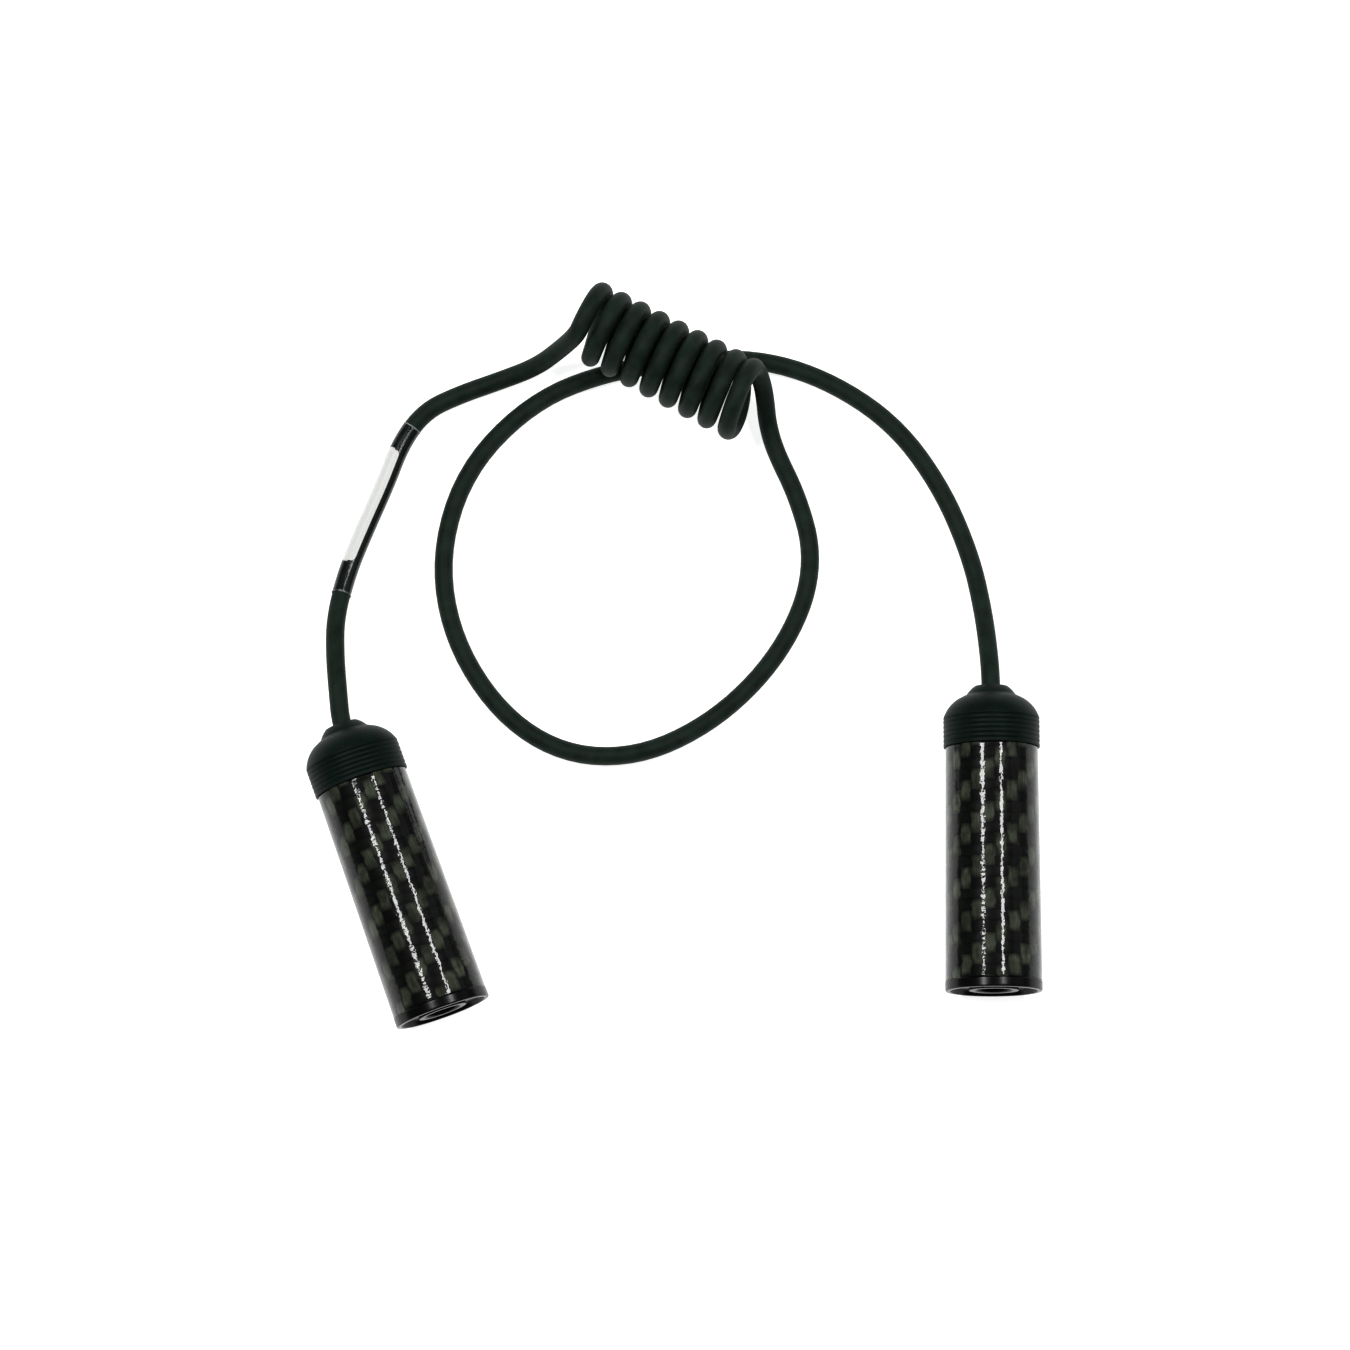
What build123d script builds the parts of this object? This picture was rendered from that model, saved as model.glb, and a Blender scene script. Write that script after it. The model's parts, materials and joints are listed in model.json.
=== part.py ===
"""In-line jack dogbone: two screw-together sockets joined by a thin cord with one curled stretch.

Frame: millimetres, +Z up, the origin on the table midway between the two sockets. Socket b lies
along Y with its mouth towards -Y; socket a lies askew at its left. Both rest on their sides.
"""
import os
from math import cos, pi, radians, sin, tan

from build123d import *

os.makedirs("parts", exist_ok=True)

# ---- Driving dimensions -------------------------------------------------------------------
body_radius = 9.775          # widest point of a socket, which also sets how high its axis lies
body_length = 62.0           # face to cap
socket_a_face = (-46.14, -31.55)
socket_b_face = (64.36, -27.30)
socket_a_turn = 19.8         # socket a's axis, turned from socket b's

plug_bore_radius = 3.6       # takes the 7.1 mm four-conductor plug
bushing_radius = 4.3
bushing_start, bushing_end = 1.25, 11.2
collar_radius = 5.0
collar_flange_radius = 6.4
collar_end = 9.0

sleeve_start, sleeve_end = 2.0, 49.4
sleeve_wall = 0.55
sleeve_front_radius, sleeve_rear_radius = 9.75, 9.35
shell_start, shell_end = 5.0, 49.3
shell_bore_radius = 7.2
thread_start = 42.8
thread_radius = 8.0          # the cap's male thread
thread_clearance = 0.05
thread_pitch = 1.5
liner_radius, liner_wall = 7.1, 0.45
liner_start, liner_end = 3.1, 42.5

block_radius = 6.4
block_start, block_end = 38.0, 43.5
block_flat = -5.7            # flat for the ground strip
skirt_radius, skirt_bore_radius = 6.68, 5.9
skirt_start, skirt_end = 43.2, 46.5
lug_radial, lug_width, lug_thickness = 4.6, 2.6, 0.4
lug_end = 47.0
signal_angles = (90.0, 210.0, 330.0)
ground_angle = 270.0
screw_angles = (30.0, 150.0)

leaf_width, leaf_thickness = 2.4, 0.3
leaf_root = 37.8
leaf_tip_radius = 3.3        # middle of the strip where it touches the plug
leaf_contacts = {"tip_spring": (90.0, 30.0), "ring_one_spring": (210.0, 22.0), "ring_two_spring": (330.0, 14.5)}

cap_spigot_start, cap_start = 43.2, 49.5
cap_radius = 9.725
cap_bore_radius = 6.7
grip_grooves, grip_pitch, grip_first = 6, 0.95, 50.4
grommet_radius = 2.9

cord_radius = 1.9
cord_end_start, cord_lead_start = 51.8, 57.5
wire_radius, wire_radial = 0.4, 1.05
label_gap, label_thickness = 0.02, 0.10
label_height = cord_radius + label_gap + label_thickness

coil_from = (-16.5, 109.65, 12.7)
coil_to = (14.85, 93.1, 12.7)
coil_radius = 8.75           # outside of the turns
coil_overhang = 2.2          # half a turn's thickness past the first and last turn

corner_share = 0.45          # of the shorter run, taken up by each rounded corner of the cord


# ---- Helpers ------------------------------------------------------------------------------
def socket_plane(face, turn):
    """Plane on a socket's face: local z runs back to the cap, local y is up."""
    back = Vector(-sin(radians(turn)), cos(radians(turn)), 0)
    return Plane(origin=(face[0], face[1], body_radius), x_dir=back.cross(Vector(0, 0, -1)), z_dir=back)


def radial_plane(front, angle=90.0):
    """Plane through a socket's axis: local x runs from face to cap, local y points out at the angle."""
    outward = front.x_dir.rotate(Axis((0, 0, 0), tuple(front.z_dir)), angle)
    return Plane(origin=front.origin, x_dir=front.z_dir, z_dir=front.z_dir.cross(outward))


def axis_of(front):
    return Axis(front.origin, front.z_dir)


def at_depth(front, depth):
    """Point on a socket's axis, the given depth behind its face."""
    return tuple(front.origin + front.z_dir * depth)


def save(piece, name):
    piece.part.label = name
    export_step(piece.part, f"parts/{name}.step")


def corner_radii(points):
    """The largest arcs that the runs between the points allow."""
    runs = [Vector(*end) - Vector(*start) for start, end in zip(points, points[1:])]
    return [
        corner_share * min(before.length, after.length) / tan(radians(before.get_angle(after)) / 2)
        for before, after in zip(runs, runs[1:])
    ]


front_a = socket_plane(socket_a_face, socket_a_turn)
front_b = socket_plane(socket_b_face, 0.0)

# ---- The two sockets ----------------------------------------------------------------------
for tag, front in (("a", front_a), ("b", front_b)):
    section = radial_plane(front)
    axis = axis_of(front)

    # Carbon-fibre sleeve, slightly slimmer towards the cap
    with BuildPart() as carbon_sleeve:
        with BuildSketch(section):
            Polygon(
                (sleeve_start, sleeve_front_radius), (sleeve_end, sleeve_rear_radius),
                (sleeve_end, sleeve_rear_radius - sleeve_wall), (sleeve_start, sleeve_front_radius - sleeve_wall),
                align=None,
            )
        revolve(axis=axis)
    save(carbon_sleeve, f"carbon_sleeve_{tag}")

    # Aluminium barrel bonded inside the sleeve, threaded at its rear for the cap
    sleeve_bore = sleeve_front_radius - sleeve_wall
    taper = (sleeve_front_radius - sleeve_rear_radius) / (sleeve_end - sleeve_start)
    with BuildPart() as barrel_shell:
        with BuildSketch(section):
            Polygon(
                (shell_start, sleeve_bore - taper * (shell_start - sleeve_start)),
                (shell_end, sleeve_bore - taper * (shell_end - sleeve_start)),
                (shell_end, thread_radius + thread_clearance), (thread_start, thread_radius + thread_clearance),
                (thread_start, shell_bore_radius), (shell_start, shell_bore_radius),
                align=None,
            )
        revolve(axis=axis)
    save(barrel_shell, f"barrel_shell_{tag}")

    # Front bezel: a crisp band flush with the sleeve, raised rim, recessed face round the collar's hole
    with BuildPart() as front_bezel:
        with BuildSketch(section):
            with BuildLine():
                Polyline((0.9, 5.1), (0.9, 8.6), (0.0, 8.8), (0.0, body_radius - 0.3))
                ThreePointArc((0.0, body_radius - 0.3), (0.09, body_radius - 0.09), (0.3, body_radius))
                Polyline(
                    (0.3, body_radius), (2.0, body_radius), (2.0, sleeve_bore - 0.05), (4.95, sleeve_bore - 0.05),
                    (4.95, 8.2), (2.9, 8.2), (2.9, 5.1), (0.9, 5.1),
                )
            make_face()
        revolve(axis=axis)
    save(front_bezel, f"front_bezel_{tag}")

    # Fibre tube that keeps the contacts off the barrel
    with BuildPart() as liner_tube:
        with BuildSketch(front.offset(liner_start)):
            Circle(liner_radius)
            Circle(liner_radius - liner_wall, mode=Mode.SUBTRACT)
        extrude(amount=liner_end - liner_start)
    save(liner_tube, f"liner_tube_{tag}")

    # Insulating collar that centres the bushing in the bezel, its lip in front of the metal
    with BuildPart() as nose_collar:
        with BuildSketch(section):
            Polygon(
                (0.15, plug_bore_radius + 0.3), (0.15, collar_radius), (3.0, collar_radius),
                (3.0, collar_flange_radius), (collar_end, collar_flange_radius), (collar_end, bushing_radius),
                (bushing_start, bushing_radius), (bushing_start, plug_bore_radius), (0.45, plug_bore_radius),
                align=None,
            )
        revolve(axis=axis)
    save(nose_collar, f"nose_collar_{tag}")

    # Plated bushing: the plug's sleeve contact and guide
    with BuildPart() as jack_bushing:
        with BuildSketch(section):
            Polygon(
                (bushing_start, plug_bore_radius), (bushing_start, bushing_radius),
                (bushing_end, bushing_radius), (bushing_end, plug_bore_radius),
                align=None,
            )
        revolve(axis=axis)
    save(jack_bushing, f"jack_bushing_{tag}")

    with BuildPart() as bushing_nut:
        with BuildSketch(front.offset(9.8)):
            RegularPolygon(radius=6.2, side_count=6)
            Circle(bushing_radius, mode=Mode.SUBTRACT)
        extrude(amount=bushing_end - 9.8)
    save(bushing_nut, f"bushing_nut_{tag}")

    # Ground frame: a ring clamped by the nut and a strip back to the contact block
    with BuildPart() as ground_frame:
        with BuildSketch(front.offset(collar_end)):
            Circle(6.3)
            Circle(bushing_radius, mode=Mode.SUBTRACT)
        extrude(amount=0.8)
        with BuildSketch(front.offset(collar_end)):
            with Locations((0, block_flat - 0.25)):
                Rectangle(4.4, 0.5)
        extrude(amount=block_end - 0.5 - collar_end)
    save(ground_frame, f"ground_frame_{tag}")

    # Contact block, slotted for the lugs, with a skirt pressed into the cap's spigot
    with BuildPart() as contact_block:
        with BuildSketch(front.offset(block_start)):
            Circle(block_radius)
            with Locations((0, block_flat - 2)):
                Rectangle(20, 4, mode=Mode.SUBTRACT)
        extrude(amount=block_end - block_start)
        with BuildSketch(front.offset(skirt_start)):
            Circle(skirt_radius)
            Circle(skirt_bore_radius, mode=Mode.SUBTRACT)
        extrude(amount=skirt_end - skirt_start)
        with BuildSketch(front.offset(block_start)):
            with PolarLocations(lug_radial, 1, ground_angle):
                Rectangle(lug_thickness, lug_width)
            for angle in signal_angles:
                with PolarLocations(lug_radial, 1, angle):
                    Rectangle(lug_thickness, lug_width)
            for angle in screw_angles:
                with PolarLocations(4.4, 1, angle):
                    Circle(0.6)
        extrude(amount=block_end - block_start, mode=Mode.SUBTRACT)
    save(contact_block, f"contact_block_{tag}")

    with BuildPart() as block_screws:
        for angle in screw_angles:
            with BuildSketch(front.offset(block_start)):
                with PolarLocations(4.4, 1, angle):
                    Circle(0.6)
            extrude(amount=block_end - block_start)
            with BuildSketch(front.offset(block_start - 0.7)):
                with PolarLocations(4.4, 1, angle):
                    Circle(1.15)
                    Rectangle(0.35, 2.6, mode=Mode.SUBTRACT)
            extrude(amount=0.7)
    save(block_screws, f"block_screws_{tag}")

    with BuildPart() as solder_lugs:
        with BuildSketch(front.offset(block_start)):
            for angle in (*signal_angles, ground_angle):
                with PolarLocations(lug_radial, 1, angle):
                    Rectangle(lug_thickness, lug_width)
        extrude(amount=lug_end - block_start)
    save(solder_lugs, f"solder_lugs_{tag}")

    # Contact springs: leaves of three lengths, each bent in to touch its own band of the plug
    for leaf_name, (angle, contact) in leaf_contacts.items():
        with BuildPart() as contact_spring:
            with BuildSketch(radial_plane(front, angle)):
                with BuildLine():
                    Polyline(
                        (leaf_root, lug_radial), (contact + 2.2, lug_radial),
                        (contact, leaf_tip_radius), (contact - 1.2, 4.1),
                    )
                trace(line_width=leaf_thickness)
            extrude(amount=leaf_width / 2, both=True)
        save(contact_spring, f"{leaf_name}_{tag}")

    # Four insulated wires from the lugs into the cord
    with BuildPart() as wires:
        for angle in (*signal_angles, ground_angle):
            with BuildLine(radial_plane(front, angle)):
                wire = FilletPolyline(
                    (44.5, lug_radial - lug_thickness / 2 - wire_radius),
                    (47.0, lug_radial - lug_thickness / 2 - wire_radius),
                    (50.6, wire_radial), (cord_end_start, wire_radial),
                    radius=1.2,
                )
            with BuildSketch(Plane(origin=wire @ 0, z_dir=wire % 0)):
                Circle(wire_radius)
            sweep(path=wire)
    save(wires, f"wires_{tag}")

    # Crimped clamp that holds the cord's jacket inside the cap
    with BuildPart() as cable_clamp:
        with BuildSketch(front.offset(53.0)):
            Circle(2.6)
            Circle(cord_radius, mode=Mode.SUBTRACT)
        extrude(amount=3.5)
        with BuildSketch(front.offset(53.0)):
            Circle(3.4)
            Circle(cord_radius, mode=Mode.SUBTRACT)
        extrude(amount=0.8)
    save(cable_clamp, f"cable_clamp_{tag}")

    # Rear cap: threaded spigot, grip rings, domed end and a small boss round the cord
    with BuildPart() as rear_cap:
        with BuildSketch(section):
            with BuildLine():
                Polyline(
                    (cap_spigot_start, cap_bore_radius), (cap_spigot_start, thread_radius - 0.4),
                    (cap_spigot_start + 0.4, thread_radius), (cap_start, thread_radius),
                    (cap_start, cap_radius), (55.5, cap_radius),
                )
                ThreePointArc((55.5, cap_radius), (57.5, 8.68), (59.3, 6.85))
                Line((59.3, 6.85), (60.25, 5.0))
                ThreePointArc((60.25, 5.0), (61.2, 4.3), (body_length, 3.4))
                Polyline(
                    (body_length, 3.4), (body_length, grommet_radius), (58.8, grommet_radius),
                    (58.8, 4.0), (57.2, cap_bore_radius), (cap_spigot_start, cap_bore_radius),
                )
            make_face()
        revolve(axis=axis)
        with BuildSketch(section):
            for groove in range(grip_grooves):
                with Locations((grip_first + groove * grip_pitch, cap_radius + 0.05)):
                    Rectangle(0.4, 0.4, rotation=45)
            for groove in range(4):
                with Locations((44.4 + groove * thread_pitch, thread_radius + 0.1)):
                    Rectangle(0.7, 0.7, rotation=45)
        revolve(axis=axis, mode=Mode.SUBTRACT)
    save(rear_cap, f"rear_cap_{tag}")

    # Rubber grommet with a bell mouth
    with BuildPart() as cable_grommet:
        with BuildSketch(section):
            with BuildLine():
                Polyline(
                    (59.5, cord_radius + 0.05), (57.9, cord_radius + 0.05), (57.9, 3.6), (58.8, 3.6),
                    (58.8, grommet_radius), (body_length, grommet_radius), (body_length, 2.55),
                )
                ThreePointArc((body_length, 2.55), (60.9, 2.1), (59.5, cord_radius + 0.05))
            make_face()
        revolve(axis=axis)
    save(cable_grommet, f"cable_grommet_{tag}")

    with BuildPart() as cord_end:
        with BuildSketch(front.offset(cord_end_start)):
            Circle(cord_radius)
        extrude(amount=cord_lead_start - cord_end_start)
    save(cord_end, f"cord_end_{tag}")

# ---- The cord -----------------------------------------------------------------------------
# The curled stretch as one solid of its outer size; the cord comes back under it on the table
coil_line = Vector(*coil_to) - Vector(*coil_from)
coil_axis = coil_line.normalized()
with BuildPart() as cord_coil:
    with BuildSketch(Plane(origin=Vector(*coil_from) - coil_axis * coil_overhang, z_dir=coil_axis)):
        Circle(coil_radius)
    extrude(amount=coil_line.length + 2 * coil_overhang)
save(cord_coil, "cord_coil")

# From socket a down to the table, along it and up onto the coil
lead_a_route = [
    at_depth(front_a, cord_lead_start), at_depth(front_a, 62.3),
    (-67.9, 33.5, 9.3), (-68.7, 41.5, 7.4), (-68.9, 50.0, 4.4), (-66.6, 60.0, 2.4),
    (-63.0, 69.0, 2.05), (-59.1, 78.0, 2.05), (-55.8, 87.0, 2.05), (-51.0, 93.5, 2.05),
    (-44.0, 96.9, 1.9), (-35.5, 99.8, 2.4), (-28.0, 102.0, 5.4), (-22.9, 104.5, 11.2),
]

# From the coil round one big loop, back under the coil and up to socket b
loop_route = [
    (16.4, 99.6, 12.0), (18.2, 97.8, 9.3), (18.9, 94.6, 6.3), (19.3, 90.6, 3.9), (20.9, 85.0, 2.3),
    (25.5, 75.5, 1.9), (28.6, 64.0, 1.9), (26.6, 52.0, 1.9), (19.0, 39.0, 1.9), (7.0, 28.0, 1.9),
    (-7.5, 21.4, 1.9), (-22.5, 22.0, 1.9), (-35.5, 30.5, 1.9), (-45.2, 46.0, 1.9), (-47.9, 63.5, 1.9),
    (-42.5, 81.5, 1.9), (-29.0, 95.5, 1.9), (-13.5, 101.8, 1.9), (2.0, 103.9, 1.9), (17.5, 104.6, 1.9),
    (32.0, 100.0, 1.9), (45.5, 90.8, 1.9), (55.0, 77.5, 1.9), (60.9, 63.0, 2.3), (63.2, 51.0, 5.0),
    (64.1, 41.5, 8.3), at_depth(front_b, 62.6), at_depth(front_b, cord_lead_start),
]

lead_a_radii = corner_radii(lead_a_route)
with BuildPart() as cord_lead_a:
    with BuildLine():
        lead_a_line = FilletPolyline(*lead_a_route, radius=lead_a_radii)
    with BuildSketch(Plane(origin=lead_a_line @ 0, z_dir=lead_a_line % 0)):
        Circle(cord_radius)
    sweep()
    lead_a_volume = cord_lead_a.part.volume
    add(cord_coil.part, mode=Mode.SUBTRACT)
save(cord_lead_a, "cord_lead_a")
print("lead a radii", [round(radius, 1) for radius in lead_a_radii])
print("lead a volume over section times length", round(lead_a_volume / (pi * cord_radius**2 * lead_a_line.length), 4))

loop_radii = corner_radii(loop_route)
with BuildPart() as cord_loop:
    with BuildLine():
        loop_line = FilletPolyline(*loop_route, radius=loop_radii)
    with BuildSketch(Plane(origin=loop_line @ 0, z_dir=loop_line % 0)):
        Circle(cord_radius)
    sweep()
    loop_volume = cord_loop.part.volume
    add(cord_coil.part, mode=Mode.SUBTRACT)
save(cord_loop, "cord_loop")
print("loop radii", [round(radius, 1) for radius in loop_radii])
print("loop volume over section times length", round(loop_volume / (pi * cord_radius**2 * loop_line.length), 4))
print("lengths of lead a and loop", round(lead_a_line.length, 1), round(loop_line.length, 1))

# Wrap-round label: a clear film sleeve on socket a's lead
label_route = lead_a_route[4:10]
label_route[0] = tuple((Vector(*label_route[0]) + Vector(*label_route[1])) / 2)
label_route[-1] = tuple((Vector(*label_route[-2]) + Vector(*label_route[-1])) / 2)
with BuildPart() as cable_label:
    with BuildLine():
        label_line = FilletPolyline(*label_route, radius=lead_a_radii[4:8])
    with BuildSketch(Plane(origin=label_line @ 0, z_dir=label_line % 0)):
        Circle(label_height)
        Circle(cord_radius + label_gap, mode=Mode.SUBTRACT)
    sweep()
save(cable_label, "cable_label")
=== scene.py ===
"""Looks of the in-line jack dogbone: two carbon-sleeved sockets joined by a cord with a curled stretch.

Metres, in the CAD model's frame. A socket's own frame has its origin on the face, local z running back
to the cap and local y up; lengths written in millimetres are named or marked so and go through MM.
"""

import json
from math import atan2, cos, pi, radians, sin

import bmesh
import bpy
from mathutils import Matrix, Vector


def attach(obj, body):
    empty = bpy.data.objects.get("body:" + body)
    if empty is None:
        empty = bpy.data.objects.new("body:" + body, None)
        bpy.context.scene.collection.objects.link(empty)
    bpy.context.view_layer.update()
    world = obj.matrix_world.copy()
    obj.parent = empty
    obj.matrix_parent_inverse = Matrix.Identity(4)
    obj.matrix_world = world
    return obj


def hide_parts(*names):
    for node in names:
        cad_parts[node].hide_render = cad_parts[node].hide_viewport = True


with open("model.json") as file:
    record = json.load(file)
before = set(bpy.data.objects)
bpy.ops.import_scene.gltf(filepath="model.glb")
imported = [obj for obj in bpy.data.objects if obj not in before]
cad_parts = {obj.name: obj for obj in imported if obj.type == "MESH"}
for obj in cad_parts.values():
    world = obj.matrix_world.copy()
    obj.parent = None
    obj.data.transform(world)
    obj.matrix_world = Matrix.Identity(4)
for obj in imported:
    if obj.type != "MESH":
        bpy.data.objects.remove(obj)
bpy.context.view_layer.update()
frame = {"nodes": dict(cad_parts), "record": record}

MM = 0.001
SOCKETS = ("a", "b")
SPIN_STEPS = 128             # faces round a turned piece
FLAT_HELD = 0.25 * MM        # how close to a flat's ends its shading is held
THREAD_STEPS = 96            # faces round one turn of a screw thread


# ---- The sockets' frames ------------------------------------------------------------------
MOUNT_DEPTH = 6.0 * MM       # the socket mounts lie this far behind the face


def socket_matrix(tag):
    """From a socket's own frame to the row frame."""
    mount = next(m for m in frame["record"]["mounts"] if m["name"] == f"socket_{tag}")
    back = -Vector(mount["axis"]).normalized()
    face = Vector(mount["pos_m"]) - back * MOUNT_DEPTH
    up = Vector((0, 0, 1))
    side = up.cross(back)
    matrix = Matrix((side, up, back)).transposed().to_4x4()
    matrix.translation = face
    return matrix


PLACES = {tag: socket_matrix(tag) for tag in SOCKETS}


def in_socket(tag, depth):
    """Point on a socket's axis, the given depth in mm behind its face."""
    return PLACES[tag] @ Vector((0, 0, depth * MM))


# ---- Camera -------------------------------------------------------------------------------
CAMERA_ELEVATION = radians(80.4)
CAMERA_DISTANCE = 1.15
CAMERA_LENS, CAMERA_SENSOR = 150.08, 36.0   # mm
LOOK_AT = Vector((0.00036, 0.03875, 0.0))


def make_camera():
    data = bpy.data.cameras.new("camera")
    data.lens = CAMERA_LENS
    data.sensor_width = CAMERA_SENSOR
    data.clip_start, data.clip_end = 0.05, 10.0
    camera = bpy.data.objects.new("camera", data)
    back = Vector((0, -cos(CAMERA_ELEVATION), sin(CAMERA_ELEVATION)))
    camera.location = LOOK_AT + back * CAMERA_DISTANCE
    camera.rotation_euler = (-back).to_track_quat("-Z", "Y").to_euler()
    bpy.context.scene.collection.objects.link(camera)
    bpy.context.scene.camera = camera


make_camera()

# ---- The cord's route ---------------------------------------------------------------------
CORD_RADIUS = 1.9 * MM
LEAD_DEPTH = 57.5            # mm behind each face, where the cord's ends inside the caps take over
COIL_FROM = Vector((-16.5, 109.65, 12.7)) * MM
COIL_TO = Vector((14.85, 93.1, 12.7)) * MM
COIL_TURNS = 8
COIL_LEAD_IN = 0.375         # part of a turn before the first top
LAST_TURN_OPENS = 2.0 * MM   # how far the last turn's underside swings out past the turns before it
LAST_TOP_CLOSES = 0.6 * MM   # how far its top then leans back on them
POINTS_PER_TURN = 16
TURN_RADIUS_FIRST = 6.55 * MM
TURN_RADIUS_LAST = 6.95 * MM
TURN_LEAN_FIRST, TURN_LEAN_LAST = 0.13, 0.20   # how far a turn's far side leans back, over its radius

LEAD_A = [
    in_socket("a", LEAD_DEPTH), in_socket("a", 62.3),
    (-0.0679, 0.0335, 0.0093), (-0.0687, 0.0415, 0.0074), (-0.0689, 0.0500, 0.0044),
    (-0.0666, 0.0600, 0.0024), (-0.0630, 0.0690, 0.00205), (-0.0591, 0.0780, 0.00205),
    (-0.0558, 0.0870, 0.00205), (-0.0510, 0.0935, 0.00205), (-0.0440, 0.0969, 0.0019),
    (-0.0355, 0.0998, 0.0024), (-0.0280, 0.1020, 0.0054), (-0.0229, 0.1045, 0.0112),
]
LOOP = [
    (0.0182, 0.0978, 0.0093), (0.0189, 0.0946, 0.0063), (0.0193, 0.0906, 0.0039),
    (0.0209, 0.0850, 0.0023), (0.0255, 0.0755, 0.0019), (0.0286, 0.0640, 0.0019),
    (0.0266, 0.0520, 0.0019), (0.0190, 0.0390, 0.0019), (0.0070, 0.0280, 0.0019),
    (-0.0075, 0.0214, 0.0019), (-0.0225, 0.0220, 0.0019), (-0.0355, 0.0305, 0.0019),
    (-0.0452, 0.0460, 0.0019), (-0.0479, 0.0635, 0.0019), (-0.0425, 0.0815, 0.0019),
    (-0.0290, 0.0955, 0.0019), (-0.0135, 0.1018, 0.0019), (0.0020, 0.1039, 0.0019),
    (0.0175, 0.1046, 0.0019), (0.0320, 0.1000, 0.0019), (0.0455, 0.0908, 0.0019),
    (0.0550, 0.0775, 0.0019), (0.0609, 0.0630, 0.0023), (0.0632, 0.0510, 0.0050),
    (0.0641, 0.0415, 0.0083), in_socket("b", 62.6), in_socket("b", LEAD_DEPTH),
]


def coil_points():
    """The curled stretch: left-handed turns that widen a little and lean, from the lead to the loop."""
    along = (COIL_TO - COIL_FROM).normalized()
    up = Vector((0, 0, 1))
    far = up.cross(along)
    first = -round(COIL_LEAD_IN * POINTS_PER_TURN)
    points = []
    for step in range(first, COIL_TURNS * POINTS_PER_TURN + 1):
        turn = step / POINTS_PER_TURN
        share = turn / COIL_TURNS
        radius = TURN_RADIUS_FIRST + (TURN_RADIUS_LAST - TURN_RADIUS_FIRST) * share
        radius /= cos(pi / POINTS_PER_TURN)
        lean = TURN_LEAN_FIRST + (TURN_LEAN_LAST - TURN_LEAN_FIRST) * share
        angle = -2 * pi * turn
        middle = COIL_FROM.lerp(COIL_TO, share)
        ring = (far - along * lean) * cos(angle) + up * sin(angle)
        half = 2 * (turn - COIL_TURNS + 1)
        swing = LAST_TURN_OPENS if half < 1 else LAST_TOP_CLOSES
        points.append(middle + ring * radius + along * (swing * sin(pi * half) if half > 0 else 0.0))
    return points


def spline_mesh(name, points, radius):
    """The mesh of one open NURBS spline that has the points as its control points: its centre line
    when the radius is 0, else a tube with closed ends."""
    data = bpy.data.curves.new(name, "CURVE")
    data.dimensions = "3D"
    data.resolution_u = 6
    data.bevel_depth = radius
    data.bevel_resolution = 8
    data.use_fill_caps = radius > 0
    spline = data.splines.new("NURBS")
    spline.points.add(len(points) - 1)
    for point, place in zip(spline.points, points):
        point.co = (*place, 1.0)
    spline.order_u = 3
    spline.use_endpoint_u = True
    curve = bpy.data.objects.new(name, data)
    mesh = bpy.data.meshes.new_from_object(curve)
    bpy.data.objects.remove(curve)
    bpy.data.curves.remove(data)
    return mesh


route = [Vector(p) for p in LEAD_A] + coil_points() + [Vector(p) for p in LOOP]
centre_line = [v.co.copy() for v in spline_mesh("cord_line", route, 0.0).vertices]


# ---- Node and colour helpers --------------------------------------------------------------
def colour(code):
    """sRGB hex to linear RGBA."""
    channels = [int(code[i:i + 2], 16) / 255 for i in (0, 2, 4)]
    linear = [c / 12.92 if c <= 0.04045 else ((c + 0.055) / 1.055) ** 2.4 for c in channels]
    return (*linear, 1.0)


def add(tree, kind, inputs=None, **settings):
    """Adds a node: settings are its properties, inputs its values or the sockets that feed it."""
    made = tree.nodes.new("ShaderNode" + kind)
    for name, value in settings.items():
        setattr(made, name, value)
    for key, value in (inputs or {}).items():
        if isinstance(value, bpy.types.NodeSocket):
            tree.links.new(value, made.inputs[key])
        else:
            made.inputs[key].default_value = value
    return made


def material(name, constants):
    """A material whose constants sit on the Principled shader's own sockets."""
    made = bpy.data.materials.new(name)
    made.use_nodes = True
    tree = made.node_tree
    shader = tree.nodes["Principled BSDF"]
    for key, value in constants.items():
        shader.inputs[key].default_value = value
    return made, tree, shader


def ramp(tree, factor, stops):
    """A colour ramp with hex colours at the given places."""
    made = add(tree, "ValToRGB", {"Fac": factor})
    band = made.color_ramp
    while len(band.elements) < len(stops):
        band.elements.new(0.5)
    for element, (place, code) in zip(band.elements, stops):
        element.position = place
        element.color = colour(code)
    return made.outputs["Color"]


def put_on(objects, made):
    """Gives each object the one material."""
    for thing in objects:
        thing.data.materials.clear()
        thing.data.materials.append(made)


# ---- Materials ----------------------------------------------------------------------------
TOWS_AROUND = 24             # 2.5 mm tows round the sleeve
TOW = 2.2                    # mm, the crossing tows along it


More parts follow.
